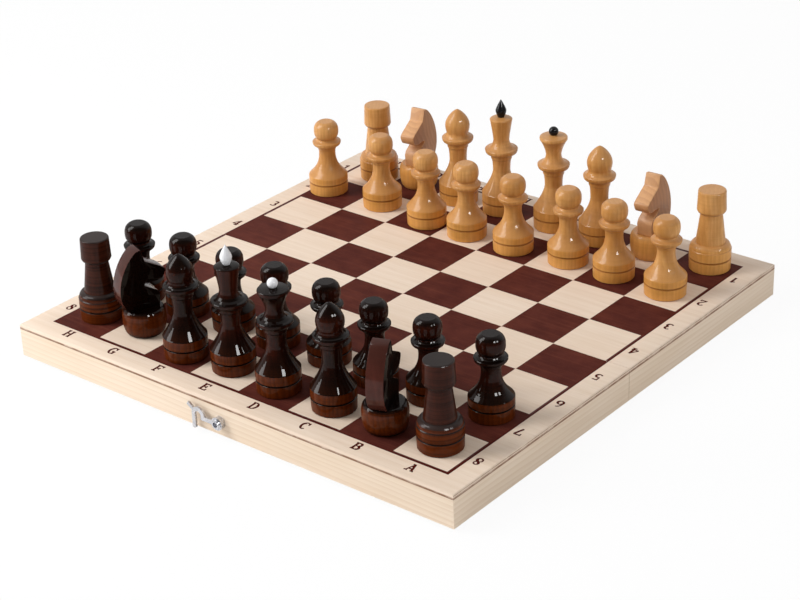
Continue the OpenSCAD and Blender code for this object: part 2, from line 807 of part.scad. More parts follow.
module catch_stud() {
    color(STEEL) translate([hook_x, 0, mouth_z + stud_z]) rotate([-90, 0, 0]) {
        translate([0, 0, board / 2 - shank_len])
            cylinder(d = stud_d, h = shank_len + latch_out - board / 2);
        translate([0, 0, latch_out - stud_head_t])
            cylinder(d1 = stud_head_d, d2 = stud_head_d - head_bevel, h = stud_head_t);
    }
}

// ---- men on their squares ----

module stand(place, rank, turn = 0) {
    i = place[0];
    shift = place[1];
    x = file_x(i) + shift[0] * square_w;
    y = rank_y(rank) + shift[1] * square_w;
    translate([x, y, top_z]) rotate(turn) children();
}

module pawns(side, paint, rank, shift) {
    for (i = [0:7]) {
        stand([i, shift[i]], rank) pawn(paint);
    }
}

module officers(side, paint, bare, rank, shift, turn) {
    for (i = [0, 7]) {
        stand([i, shift[i]], rank) rook(paint);
    }
    for (i = [1, 6]) {
        place = [i, shift[i]];
        nose = turn[i == 1 ? 0 : 1];
        stand(place, rank) knight_foot(paint);
        stand(place, rank, nose) knight_head(bare);
    }
    for (i = [2, 5]) {
        stand([i, shift[i]], rank) bishop(paint);
    }
}

// The king stands on the e file and the queen on the d file; their tops have the other side's colour
module royals(side, paint, top_paint, rank, shift) {
    e = [3, shift[3]];
    d = [4, shift[4]];
    stand(e, rank) king(paint);
    stand(e, rank) king_finial(top_paint);
    stand(d, rank) queen(paint);
    stand(d, rank) queen_ball(top_paint);
}

panel(-1);  // near_panel
print(-1);  // near_print
near_front_rail();
near_fold_rail();
side_rail(-1, -1);  // near_left_rail
side_rail(-1, 1);  // near_right_rail
panel(1);  // far_panel
print(1);  // far_print
far_back_rail();
far_fold_rail();
side_rail(1, -1);  // far_left_rail
side_rail(1, 1);  // far_right_rail
near_hinge_leaves();
far_hinge_leaves();
hinge_pins();
near_hinge_screws();
far_hinge_screws();
hook();
hook_rivet();
catch_stud();
pawns("white", WHITE, 2, white_pawn_shift);
officers("white", WHITE, BARE, 1, white_officer_shift, white_knight_turn);
royals("white", WHITE, EBONY, 1, white_officer_shift);
pawns("black", BLACK, 7, black_pawn_shift);
officers("black", BLACK, BLACK, 8, black_officer_shift, black_knight_turn);
royals("black", BLACK, IVORY, 8, black_officer_shift);
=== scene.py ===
import json
import math

import bmesh
import bpy
from mathutils import Matrix, Vector

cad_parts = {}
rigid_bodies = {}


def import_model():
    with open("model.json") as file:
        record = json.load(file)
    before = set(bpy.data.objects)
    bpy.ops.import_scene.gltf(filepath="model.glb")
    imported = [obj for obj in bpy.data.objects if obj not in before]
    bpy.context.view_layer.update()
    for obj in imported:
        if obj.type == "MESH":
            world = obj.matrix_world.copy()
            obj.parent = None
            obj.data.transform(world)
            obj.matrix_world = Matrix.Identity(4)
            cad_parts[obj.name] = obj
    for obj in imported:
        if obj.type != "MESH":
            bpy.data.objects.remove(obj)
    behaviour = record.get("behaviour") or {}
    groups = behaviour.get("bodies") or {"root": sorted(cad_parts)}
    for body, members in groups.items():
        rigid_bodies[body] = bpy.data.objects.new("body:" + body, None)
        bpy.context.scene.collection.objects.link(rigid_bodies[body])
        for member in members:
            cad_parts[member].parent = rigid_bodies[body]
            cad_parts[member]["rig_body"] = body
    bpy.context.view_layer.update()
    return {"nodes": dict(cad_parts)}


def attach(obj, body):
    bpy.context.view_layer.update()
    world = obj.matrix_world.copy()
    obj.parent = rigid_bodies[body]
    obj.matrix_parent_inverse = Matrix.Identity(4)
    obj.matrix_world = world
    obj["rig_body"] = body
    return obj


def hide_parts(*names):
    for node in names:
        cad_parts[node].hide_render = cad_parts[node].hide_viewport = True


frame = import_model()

NODES = frame["nodes"]
MM = 0.001

# The board and the men's feet, in metres, as part.scad has them
SQUARE = 32.9 * MM
FIELD_HALF = 4 * SQUARE
BOARD_HALF = 145 * MM
TOP_Z = 19.65 * MM
PANEL_Z = 17.15 * MM
GROOVE_Z = TOP_Z + 7 * MM
FOOT_Z = TOP_Z + 12.8 * MM

FILES = "HGFEDCBA"
RANKS = "87654321"


# ---------------------------------------------------------------- node trees

class Nodes:
    """A node tree whose nodes are added one by one."""

    def __init__(self, tree):
        self.tree = tree

    def node(self, kind, values, output=0, **settings):
        """One of a new node's outputs; values go to its inputs, settings to the node."""
        made = self.tree.nodes.new("ShaderNode" + kind)
        for key, value in settings.items():
            setattr(made, key, value)
        for socket, value in values.items():
            self.feed(made.inputs[socket], value)
        return made.outputs[output]

    def feed(self, socket, value):
        if isinstance(value, bpy.types.NodeSocket):
            self.tree.links.new(value, socket)
        else:
            socket.default_value = value

    def math(self, operation, a, b=0.0, c=0.0):
        return self.node("Math", {0: a, 1: b, 2: c}, operation=operation)

    def times(self, a, b):
        return self.math("MULTIPLY", a, b)

    def apart(self, a, b):
        return self.math("ABSOLUTE", self.math("SUBTRACT", a, b))

    def ramp(self, value, low, high, out_low=0.0, out_high=1.0, kind="LINEAR"):
        """The value carried from one pair of limits to another, and held there."""
        values = {0: value, 1: low, 2: high, 3: out_low, 4: out_high}
        return self.node("MapRange", values, interpolation_type=kind)

    def smooth_ramp(self, *value_and_limits):
        return self.ramp(*value_and_limits, kind="SMOOTHSTEP")


class Look(Nodes):
    """A material and its nodes."""

    def __init__(self, name):
        self.material = bpy.data.materials.new(name)
        self.material.use_nodes = True
        super().__init__(self.material.node_tree)
        self.shader = self.tree.nodes["Principled BSDF"]
        self.here = self.node("TexCoord", {}, output="Object")

    def mix(self, share, a, b):
        return self.node("Mix", {0: share, 6: a, 7: b}, output=2, data_type="RGBA")

    def grain(self, scale, detail=3.0, rough=0.55):
        """Noise whose waves per metre are given along X, Y and Z."""
        where = self.node("Mapping", {"Vector": self.here, "Scale": scale})
        values = {"Vector": where, "Scale": 1.0, "Detail": detail, "Roughness": rough}
        return self.node("TexNoise", values)

    def xyz(self, where=None):
        made = self.tree.nodes.new("ShaderNodeSeparateXYZ")
        self.feed(made.inputs[0], where or self.here)
        return made.outputs

    def normal(self):
        """The surface's direction along X, Y and Z, in the piece's own frame."""
        return self.xyz(self.node("TexCoord", {}, output="Normal"))

    def bump(self, height, distance):
        values = {"Height": height, "Distance": distance}
        self.feed(self.shader.inputs["Normal"], self.node("Bump", values))

    def set(self, **values):
        """Feed the shader's inputs, with _ for each space in their names."""
        for key, value in values.items():
            self.feed(self.shader.inputs[key.replace("_", " ")], value)


def srgb(red, green, blue):
    """A colour as it looks on screen, from 0 to 255, made linear."""
    def linear(c):
        c /= 255
        return c / 12.92 if c <= 0.04045 else ((c + 0.055) / 1.055) ** 2.4
    return (linear(red), linear(green), linear(blue), 1.0)


# ----------------------------------------------------------------- materials

BIRCH_PALE = srgb(234, 216, 198)
BIRCH_MID = srgb(229, 208, 188)
BIRCH_DEEP = srgb(217, 192, 166)
BIRCH_FLECK = srgb(190, 158, 128)
GLUE_BROWN = srgb(134, 92, 64)
INK_DARK = srgb(73, 32, 27)
INK_WARM = srgb(91, 44, 35)
INK_LIGHT = srgb(112, 62, 48)
INK_LINE = srgb(74, 20, 14)
# the ink of the line round the field has bled this far either way from the field's edge;
# it is solid up to LINE_SOLID, and lies in the upper INK_DEPTH of the wood
LINE_W = 1.05 * MM
LINE_SOLID = 0.85 * LINE_W
INK_DEPTH = 0.2 * MM
# half widths of the brown glue lines: under the panel, on the rails, and between plies
JOINT_HALF = 1.1 * MM
RAIL_GLUE_HALF = 0.5 * MM
PLY_HALF = 0.4 * MM
# the line between plies, dark enough to stand for painted shade under the rounded top edge too: its
# height, its strength, and how far the plies wave
PLY_Z = PANEL_Z + 1.65 * MM
PLY_LINE_AND_SHADE_SHARE = 0.8
PLY_WAVE = 0.08 * MM


def birch_face(look):
    """Colour of sanded birch veneer, with its grain along X."""
    streaks = look.grain((9, 420, 60), detail=4, rough=0.6)
    flecks = look.grain((60, 1500, 400), detail=2)
    clouds = look.grain((14, 22, 14), detail=2)
    pale = look.mix(look.ramp(clouds, 0.3, 0.7), BIRCH_PALE, BIRCH_MID)
    toned = look.mix(look.ramp(streaks, 0.35, 0.75, 0.0, 0.55), pale, BIRCH_DEEP)
    flecked = look.mix(look.ramp(flecks, 0.6, 0.8, 0.0, 0.35), toned, BIRCH_FLECK)
    return flecked, streaks


def distance_out(look):
    """The larger of |x| and |y|: how far out a point lies, as a square sees it."""
    x, y, _ = look.xyz()
    return look.math("MAXIMUM", look.math("ABSOLUTE", x), look.math("ABSOLUTE", y))


def birch():
    """The panels' faces, into which the ink of the line round the field has bled."""
    look = Look("panel_birch")
    colour, streaks = birch_face(look)
    past = look.apart(distance_out(look), FIELD_HALF)
    bled = look.smooth_ramp(past, LINE_SOLID, LINE_W, 1.0, 0.0)
    on_top = look.math("GREATER_THAN", look.xyz()[2], TOP_Z - INK_DEPTH)
    inked = look.mix(look.times(bled, on_top), colour, INK_LINE)
    look.set(Base_Color=inked, Roughness=look.ramp(streaks, 0.3, 0.8, 0.42, 0.55))
    look.set(Specular_IOR_Level=0.2)
    look.bump(streaks, 0.03 * MM)
    return look.material


def ply_edge():
    """Cut edge of the plywood: a glue line at its foot, and at left and right one between plies,
    dark enough to be painted shade under the rounded top edge too.
    """
    look = Look("panel_edge")
    colour, streaks = birch_face(look)
    wave = look.grain((90, 90, 10), detail=1)
    level = look.math("ADD", look.xyz()[2], look.ramp(wave, 0, 1, -PLY_WAVE, PLY_WAVE))
    endwise = look.math("ABSOLUTE", look.normal()[0])
    joint = line_at(look, level, PANEL_Z, JOINT_HALF)
    # the line between plies is also painted shade under the rounded top edge
    ply_line_and_shade = look.times(line_at(look, level, PLY_Z, PLY_HALF), endwise)
    lines = look.math("MAXIMUM", joint, look.times(ply_line_and_shade, PLY_LINE_AND_SHADE_SHARE))
    patchy = look.grain((160, 160, 40), detail=2)
    share = look.times(lines, look.ramp(patchy, 0.3, 0.6, 0.5, 1.0))
    look.set(Base_Color=look.mix(share, colour, GLUE_BROWN), Roughness=0.6)
    look.bump(streaks, 0.05 * MM)
    return look.material


def line_at(look, level, z, half):
    """1 where the level is z, fading to 0 at the half width from it."""
    return look.smooth_ramp(look.apart(level, z), 0.4 * half, half, 1.0, 0.0)


def field_print():
    """Burgundy ink, thin enough for the veneer's grain to show through it."""
    look = Look("board_print")
    streaks = look.grain((16, 520, 60), detail=4, rough=0.65)
    patches = look.grain((70, 95, 70), detail=4, rough=0.6)
    specks = look.grain((900, 1300, 900), detail=2)
    base = look.mix(look.ramp(patches, 0.35, 0.7), INK_DARK, INK_WARM)
    grained = look.mix(look.ramp(streaks, 0.5, 0.8, 0.0, 0.5), base, INK_LIGHT)
    worn = look.mix(look.ramp(specks, 0.62, 0.8, 0.0, 0.45), grained, INK_LIGHT)
    # the line round the field and the lettering took a second coat of ink
    outside = look.math("GREATER_THAN", distance_out(look), FIELD_HALF)
    printed = look.mix(outside, worn, INK_LINE)
    look.set(Base_Color=printed, Roughness=look.ramp(streaks, 0.3, 0.8, 0.5, 0.65))
    look.set(Specular_IOR_Level=0.03)
    look.bump(streaks, 0.03 * MM)
    return look.material


def growth_ring(look, level, drift, sway, width):
    """How far through its growth ring a point lies, from 0 to 1; the rings sway with drift."""
    swayed = look.math("ADD", level, look.ramp(drift, 0, 1, -sway, sway))
    return look.math("FRACT", look.math("DIVIDE", swayed, width))


def late_wood(look, ring, full, end):
    """How dark the ring is: more and more up to full, and less and less past the end."""
    rise = look.smooth_ramp(ring, 0.0, full)
    fall = look.smooth_ramp(ring, end, 1.0, 1.0, 0.0)
    return look.times(rise, fall)


PINE_PALE = srgb(236, 218, 198)
PINE_MID = srgb(229, 209, 186)
PINE_LATE = srgb(208, 178, 144)
PINE_RING = 2.7 * MM
PINE_WANDER = 4.5 * MM
# how far aside the heart of the tree lay, and how the rings lean across and along the rail
PINE_HEART = 60 * MM
PINE_LEAN = 0.55
PINE_TAPER = 0.016


def pine(name, along):
    """Pine, whose growth rings run along one axis: 0 for X and 1 for Y."""
    look = Look(name)
    stretch = [60.0, 60.0, 60.0]
    stretch[along] = 5.0
    drift = look.grain(stretch, detail=2)
    axes = look.xyz()
    side = look.times(look.math("SUBTRACT", axes[1 - along], PINE_HEART), PINE_LEAN)
    slope = look.times(axes[along], PINE_TAPER)
    reach = look.math("ADD", look.math("ADD", side, axes[2]), slope)
    ring = growth_ring(look, reach, drift, PINE_WANDER, PINE_RING)
    late = look.math("POWER", ring, 2.6)
    edge = look.smooth_ramp(ring, 0.93, 1.0, 1.0, 0.0)
    band = look.times(late, edge)
    fibre_scale = [900.0, 900.0, 900.0]
    fibre_scale[along] = 22.0
    fibres = look.grain(fibre_scale)
    clouds = look.grain((13, 13, 60), detail=2)
    body = look.mix(look.ramp(clouds, 0.3, 0.7), PINE_PALE, PINE_MID)
    ringed = look.mix(look.times(band, 0.4), body, PINE_LATE)
    fibred = look.mix(look.ramp(fibres, 0.45, 0.8, 0.0, 0.25), ringed, PINE_LATE)
    glued = look.mix(line_at(look, axes[2], PANEL_Z, RAIL_GLUE_HALF), fibred, GLUE_BROWN)
    look.set(Base_Color=glued, Roughness=look.ramp(fibres, 0.3, 0.8, 0.5, 0.65))
    look.set(Specular_IOR_Level=0.3)
    look.bump(fibres, 0.04 * MM)
    return look.material


# growth rings of the men's wood, whose planks lay askew to X
RING = 2.6 * MM
RING_WANDER = 7 * MM
RING_X = 0.8
RING_Y = 0.6
# where the foot's tone, its own stain with painted bounce light from the board, fades out, and how
# far the groove's painted shade reaches, full and faint
FOOT_AND_BOUNCE_FADE = (FOOT_Z - 2 * MM, FOOT_Z + 6 * MM)
GROOVE_HALF = 0.35 * MM
GROOVE_RIM = 0.75 * MM


def turned_wood(name, tones, shares):
    """Stained and lacquered wood turned about Z, whose grain runs up each man."""
    look = Look(name)
    x, y, z = look.xyz()
    tilt = look.math("ABSOLUTE", look.normal()[2])
    drift = look.grain((55, 55, 12))
    plane = look.math("MULTIPLY_ADD", y, RING_Y, look.times(x, RING_X))
    ring = growth_ring(look, plane, drift, RING_WANDER, RING)
    ring_share = look.times(late_wood(look, ring, 0.8, 0.86), shares["ring"])
    patches = look.grain((75, 75, 34))
    fibres = look.grain((1300, 1300, 60))
    body = look.mix(look.ramp(patches, 0.35, 0.65), tones["deep"], tones["main"])
    ringed = look.mix(ring_share, body, tones["ring"])
    fibre_share = look.ramp(fibres, 0.5, 0.8, 0.0, shares["fibre"])
    fibred = look.mix(fibre_share, ringed, tones["ring"])
    # low on each man a warmer tone: the foot's own stain, with painted bounce light from the board
    low = look.smooth_ramp(z, *FOOT_AND_BOUNCE_FADE, shares["foot"], 0.0)
    foot_and_bounce_tone = look.mix(ring_share, tones["foot"], tones["deep"])
    footed = look.mix(low, fibred, foot_and_bounce_tone)
    # faces that point up or down take a darker tone: on shoulders and collars the stain that
    # cross-cut wood drinks, and under collars and heads painted shade
    endgrain_and_shade = look.smooth_ramp(tilt, 0.2, 0.65, 0.0, shares["end"])
    stained = look.mix(endgrain_and_shade, footed, tones["end"])
    # the groove is painted darker: painted shade in the recess
    away = look.apart(z, GROOVE_Z)
    groove = look.smooth_ramp(away, GROOVE_HALF, GROOVE_RIM, shares["groove"], 0.0)
    cut = look.mix(groove, stained, tones["cut"])
    lathe = look.grain((12, 12, 750))
    marked = look.mix(look.ramp(lathe, 0.45, 0.75, 0.0, shares["lathe"]), cut, tones["cut"])
    look.set(Base_Color=marked, Roughness=look.ramp(fibres, 0.3, 0.8, 0.45, 0.55))
    look.set(Coat_Weight=shares["coat"], Coat_Roughness=shares["blur"], Coat_IOR=1.45)
    look.set(Specular_IOR_Level=shares["sheen"], Specular_Tint=tones["sheen"])
    turning = look.grain((20, 20, 2600), detail=1)
    look.bump(look.math("ADD", fibres, look.times(turning, 0.5)), 0.012 * MM)
    return look.material


# Tones: the wood's main and deep stain, its rings, the foot with painted bounce light from the
# board, cross-cut wood with painted shade under collars and heads, the groove's painted shade and
# lathe marks, and the tint of its broad sheen. Shares: how strongly the rings, fibres, foot and
# bounce, cross-cut wood and shade, groove shade and lathe marks show, then the weight and blur of
# the lacquer's coat, and the strength of the broad sheen.
HONEY = {
    "main": srgb(224, 170, 104),
    "deep": srgb(194, 136, 70),
    "ring": srgb(176, 113, 50),
    "foot": srgb(222, 157, 74),
    "end": srgb(184, 130, 76),
    "cut": srgb(156, 98, 38),
    "sheen": srgb(255, 232, 196),
}
HONEY_SHARES = {
    "ring": 0.3,
    "fibre": 0.42,
    "foot": 0.6,
    "end": 0.65,
    "groove": 0.75,
    "lathe": 0.15,
    "coat": 0.38,
    "blur": 0.06,
    "sheen": 0.25,
}
TREACLE = {
    "main": srgb(56, 19, 8),
    "deep": srgb(27, 7, 3),
    "ring": srgb(18, 5, 3),
    "foot": srgb(98, 42, 10),
    "end": srgb(9, 4, 3),
    "cut": srgb(8, 3, 2),
    "sheen": srgb(255, 170, 110),
}
TREACLE_SHARES = {
    "ring": 0.3,
    "fibre": 0.25,
    "foot": 0.85,
    "end": 0.95,
    "groove": 0.5,
    "lathe": 0.3,
    "coat": 0.34,
    "blur": 0.03,
    "sheen": 0.02,
}
# the dark rooks were left nearly dry, and show the lathe's marks
DRY = {"lathe": 0.75, "ring": 0.08, "fibre": 0.1, "coat": 0.28, "blur": 0.14}
# their grey on faces that point up or down is a painted reflection of the bright sweep, seen on the
# rooks' tops
DRY_TONES_WITH_TOP_REFLECTION = {"main": srgb(64, 28, 16), "deep": srgb(48, 20, 12), "end": srgb(50, 42, 40)}
# the knights have no groove
PLAIN = {"groove": 0.0}
# the dark ones' heads are brown on their sawn edges, and a nearly black copy of the wood on their
# flat sides is painted shade
BLACK_SHADED_SIDE_TONES = {"main": srgb(10, 4, 3), "deep": srgb(7, 3, 2), "foot": srgb(10, 4, 3)}
SAWN = {"groove": 0.0, "lathe": 0.0, "ring": 0.1, "coat": 0.5, "blur": 0.12}
SAWN_TONES = {"main": srgb(84, 42, 34), "deep": srgb(58, 27, 20), "end": srgb(60, 30, 24)}


# sawn edges of the plank that a knight's head is cut from, and a darker copy of that wood for its
# flat sides, painted shade
BARE_PALE = srgb(210, 159, 110)
BARE_RING = srgb(172, 116, 76)
SHADED_SIDE_PALE = srgb(176, 125, 82)
SHADED_SIDE_RING = srgb(136, 88, 58)
# its growth rings, and how they lean with Y and Z
HEAD_RING = 3.1 * MM
HEAD_WANDER = 9 * MM
HEAD_LEAN_Y = 0.95
HEAD_LEAN_Z = 0.35


def bare_wood(name, tone, deep):
    """Pinkish beech with next to no varnish, and growth rings that bow across the head."""
    look = Look(name)
    drift = look.grain((26, 26, 20))
    _, y, z = look.xyz()
    tilt = look.math("ADD", look.times(z, HEAD_LEAN_Z), look.times(y, HEAD_LEAN_Y))
    ring = growth_ring(look, tilt, drift, HEAD_WANDER, HEAD_RING)
    band = look.times(late_wood(look, ring, 0.9, 0.93), 0.35)
    fibres = look.grain((900, 900, 60))
    ringed = look.mix(band, tone, deep)
    fibred = look.mix(look.ramp(fibres, 0.5, 0.8, 0.0, 0.35), ringed, deep)
    look.set(Base_Color=fibred, Roughness=look.ramp(fibres, 0.3, 0.8, 0.45, 0.6))
    look.set(Coat_Weight=0.12, Coat_Roughness=0.25, Specular_IOR_Level=0.3)
    look.bump(fibres, 0.03 * MM)
    return look.material


def glossy_paint(name, tone, shade, coat):
    """Thick glossy enamel, uneven by a hair, as a dipped bead has it."""
    look = Look(name)
    uneven = look.grain((320, 320, 320), detail=2)
    dust = look.grain((2600, 2600, 2600), detail=1)
    painted = look.mix(look.ramp(uneven, 0.35, 0.7, 0.0, 0.5), tone, shade)
    look.set(Base_Color=painted, Roughness=look.ramp(dust, 0.3, 0.8, 0.18, 0.3))
    look.set(Coat_Weight=coat, Coat_Roughness=0.05, Specular_IOR_Level=0.1)
    look.bump(uneven, 0.08 * MM)
    return look.material


def steel(name, tone, shade, rough):
    """Plated steel with fine rubbing marks."""
    look = Look(name)
    rubs = look.grain((2200, 500, 500))
    tarnish = look.grain((150, 150, 150))
    plated = look.mix(look.ramp(tarnish, 0.35, 0.75, 0.0, 0.6), tone, shade)
    look.set(Base_Color=plated, Metallic=1.0)
    look.set(Roughness=look.ramp(rubs, 0.3, 0.8, rough, rough + 0.16))
    look.bump(rubs, 0.01 * MM)
    return look.material


# -------------------------------------------------------------- mesh helpers

# points closer than this are one, and the solids' facets within this angle one face
MERGE = 0.002 * MM
FLAT_ANGLE = math.radians(0.5)
SHARP_ANGLE = math.radians(35)
# faces larger than the first are left flat, and larger than the second, on a knight's
# head, are its flat sides
FLAT_AREA = 60 * MM * MM
SIDE_AREA = 100 * MM * MM
# what counts as on the board's outside
NEAR = 0.01 * MM


def new_piece(name, bm, materials, body):
    """A visual piece made of the mesh, riding a body."""
    mesh = bpy.data.meshes.new(name)
    bm.to_mesh(mesh)
    bm.free()
    if mesh.has_custom_normals:
        mesh.attributes.remove(mesh.attributes["custom_normal"])
    for material in materials:
        mesh.materials.append(material)
    piece = bpy.data.objects.new(name, mesh)
    bpy.context.scene.collection.objects.link(piece)
    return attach(piece, body)


def welded(node):
    """The CAD solid as one closed mesh, its flat faces whole again."""
    source = NODES[node]
    bm = bmesh.new()
    bm.from_mesh(source.data)
    bm.transform(source.matrix_world)
    bmesh.ops.remove_doubles(bm, verts=bm.verts, dist=MERGE)
    bmesh.ops.dissolve_limit(bm, angle_limit=FLAT_ANGLE, verts=bm.verts, edges=bm.edges)
    return bm


def body_of(node):
    return NODES[node]["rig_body"]


def any_edge(edge):
    return True


def eased(node, radius, steps, chosen=any_edge):
    """The CAD solid with the chosen sharp edges sanded round."""
    bm = welded(node)
    edges = [
        e for e in bm.edges
        if len(e.link_faces) == 2 and e.calc_face_angle() > SHARP_ANGLE and chosen(e)
    ]
    bmesh.ops.bevel(
        bm, geom=edges, offset=radius, offset_type="OFFSET", segments=steps,
        profile=0.5, affect="EDGES", clamp_overlap=True,
    )
    for face in bm.faces:
        face.smooth = face.calc_area() < FLAT_AREA
    return bm


def keep_creases(piece, angle):
    """Smooth shading that stops at creases sharper than the angle, in degrees."""
    piece.data.set_sharp_from_angle(angle=math.radians(angle))


# ------------------------------------------------------------------- letters

LETTER_H = 6.4 * MM
# the first stroke's height over the wood, and each later stroke's over the one before
INK_LIFT = 0.03 * MM
STEP_LIFT = 0.004 * MM
# strokes and width of the glyphs, as shares of their height; so are their points
BOLD = 0.205
FLAG = 0.15
BEAM = 0.14
THIN = 0.13
GLYPH_W = 0.78
# how far from the board's middle the rows and columns of lettering run
BORDER_Y = 137.3 * MM
BORDER_X = 136.8 * MM
# where the board's middle lies, counted in files or ranks from the first one's middle
MIDDLE = (len(FILES) - 1) / 2


def arc(x, y, rx, ry, start, end, steps=12):
    """Points of part of an ellipse, its angles in degrees."""
    turns = [math.radians(start + (end - start) * i / steps) for i in range(steps + 1)]
    return [(x + rx * math.cos(t), y + ry * math.sin(t)) for t in turns]


def bar(x0, y0, x1, y1, width):
    """A straight stroke: its points and its width."""
    return ([(x0, y0), (x1, y1)], width)


def serif(x, y, half=0.15):
    return bar(x - half, y, x + half, y, THIN)


LOW = THIN / 2
HIGH = 1 - THIN / 2

GLYPHS = {
    "A": [
        bar(0.40, 0.98, 0.13, 0.03, THIN),
        bar(0.38, 0.98, 0.66, 0.03, BOLD),
        bar(0.2, 0.32, 0.6, 0.32, THIN),
        serif(0.12, LOW),
        serif(0.66, LOW),
        bar(0.22, HIGH, 0.44, HIGH, THIN),
    ],
    "B": [
        bar(0.19, 0, 0.19, 1, BOLD),
        ([(0.03, HIGH), (0.4, HIGH)] + arc(0.42, 0.75, 0.2, 0.2, 90, -90), THIN),
        ([(0.03, LOW), (0.42, LOW)] + arc(0.44, 0.29, 0.24, 0.235, -90, 90), THIN),
        (arc(0.4, 0.75, 0.22, 0.2, 70, -70), BOLD),
        (arc(0.42, 0.29, 0.25, 0.22, 70, -70), BOLD),
        bar(0.19, 0.53, 0.44, 0.53, THIN),
    ],
    "C": [
        (arc(0.4, 0.5, 0.29, 0.45, 48, 312, 18), THIN),
        (arc(0.41, 0.5, 0.28, 0.4, 110, 250), BOLD),
        bar(0.64, 0.66, 0.64, 1, THIN),
        bar(0.59, 0.84, 0.52, 0.93, THIN),
    ],
    "D": [
        bar(0.19, 0, 0.19, 1, BOLD),
        ([(0.03, HIGH), (0.36, HIGH)] + arc(0.38, 0.5, 0.3, 0.445, 90, -90, 14), THIN),
        (arc(0.38, 0.5, 0.29, 0.4, 60, -60), BOLD),
        bar(0.03, LOW, 0.4, LOW, THIN),
    ],
    "E": [
        bar(0.19, 0, 0.19, 1, BOLD),
        bar(0.03, HIGH, 0.68, HIGH, THIN),
        bar(0.03, LOW, 0.7, LOW, THIN),
        bar(0.19, 0.51, 0.5, 0.51, THIN),
        bar(0.5, 0.36, 0.5, 0.66, THIN),
        bar(0.66, 0.74, 0.66, 1, THIN),
        bar(0.68, 0, 0.68, 0.28, THIN),
    ],
    "F": [
        bar(0.2, 0, 0.2, 1, BOLD),
        bar(0.04, HIGH, 0.7, HIGH, THIN),
        serif(0.22, LOW, 0.19),
        bar(0.2, 0.5, 0.5, 0.5, THIN),
        bar(0.5, 0.35, 0.5, 0.65, THIN),
        bar(0.67, 0.72, 0.67, 1, THIN),
    ],
    "G": [
        (arc(0.4, 0.5, 0.3, 0.45, 48, 305, 18), THIN),
        (arc(0.41, 0.5, 0.28, 0.4, 110, 250), BOLD),
        bar(0.64, 0.68, 0.64, 1, THIN),
        bar(0.63, 0.04, 0.63, 0.42, BOLD),
        bar(0.42, 0.42, 0.76, 0.42, THIN),
    ],
    "H": [
        bar(0.17, 0, 0.17, 1, BOLD),
        bar(0.61, 0, 0.61, 1, BOLD),
        bar(0.17, 0.51, 0.61, 0.51, THIN),
        serif(0.17, LOW),
        serif(0.17, HIGH),
        serif(0.61, LOW),
        serif(0.61, HIGH),
    ],
    "1": [
        bar(0.4, 0, 0.4, 1, BOLD),
        bar(0.14, 0.74, 0.4, 0.93, FLAG),
    ],
    "2": [
        (arc(0.38, 0.7, 0.23, 0.25, 165, -20) + [(0.14, 0.08)], THIN),
        (arc(0.37, 0.7, 0.22, 0.22, 60, -40), BOLD),
        bar(0.1, 0.07, 0.64, 0.07, BEAM),
        bar(0.62, 0, 0.62, 0.26, THIN),
    ],
    "3": [
        (arc(0.36, 0.74, 0.22, 0.21, 150, -90), THIN),
        (arc(0.36, 0.28, 0.26, 0.235, 90, -150), THIN),
        (arc(0.35, 0.74, 0.2, 0.19, 60, -60), BOLD),
        (arc(0.34, 0.28, 0.26, 0.21, 65, -65), BOLD),
    ],
    "4": [
        bar(0.5, 0, 0.5, 1, BOLD),
        bar(0.5, 0.96, 0.08, 0.3, THIN),
        bar(0.04, 0.28, 0.7, 0.28, THIN),
        serif(0.5, LOW, 0.2),
    ],
    "5": [
        bar(0.2, 0.5, 0.2, 1, THIN),
        bar(0.2, 0.93, 0.6, 0.93, BEAM),
        (arc(0.35, 0.3, 0.26, 0.25, 130, -150, 14), THIN),
        (arc(0.34, 0.3, 0.25, 0.22, 70, -70), BOLD),
    ],
    "6": [
        (arc(0.4, 0.3, 0.25, 0.25, 0, 360, 20), THIN),
        (arc(0.5, 0.42, 0.36, 0.53, 95, 190), THIN),
        (arc(0.39, 0.3, 0.24, 0.22, 115, 245), BOLD),
        (arc(0.4, 0.3, 0.24, 0.22, 60, -60), BOLD),
    ],
    "7": [
        bar(0.1, 0.92, 0.66, 0.92, FLAG),
        bar(0.62, 0.9, 0.34, 0, BOLD),
        bar(0.12, 0.72, 0.12, 1, THIN),
    ],
    "8": [
        (arc(0.39, 0.74, 0.21, 0.205, 0, 360, 18), THIN),
        (arc(0.39, 0.29, 0.25, 0.24, 0, 360, 20), THIN),
        ([(0.21, 0.82), (0.28, 0.62), (0.51, 0.43), (0.59, 0.22)], BOLD),
    ],
}


def add_stroke(bm, points, width, place, top):
    """A flat strip of ink along the points, a hair proud of the wood."""
    left, right = [], []
    for i, point in enumerate(points):
        before = Vector(points[max(i - 1, 0)])
        after = Vector(points[min(i + 1, len(points) - 1)])
        run = (after - before).normalized()
        side = Vector((-run.y, run.x)) * width / 2
        left.append(place @ (Vector(point) + side).to_3d())
        right.append(place @ (Vector(point) - side).to_3d())
    rails = []
    for line in (left, right):
        upper = [bm.verts.new((p.x, p.y, top)) for p in line]
        lower = [bm.verts.new((p.x, p.y, TOP_Z)) for p in line]
        rails.append((upper, lower))
    (left_up, left_low), (right_up, right_low) = rails
    for i in range(len(points) - 1):
        n = i + 1
        bm.faces.new((right_up[i], right_up[n], left_up[n], left_up[i]))
        bm.faces.new((left_up[i], left_up[n], left_low[n], left_low[i]))
        bm.faces.new((right_up[n], right_up[i], right_low[i], right_low[n]))
    for i in (0, -1):
        ends = (right_up[i], left_up[i], left_low[i], right_low[i])
        bm.faces.new(ends if i == 0 else ends[::-1])


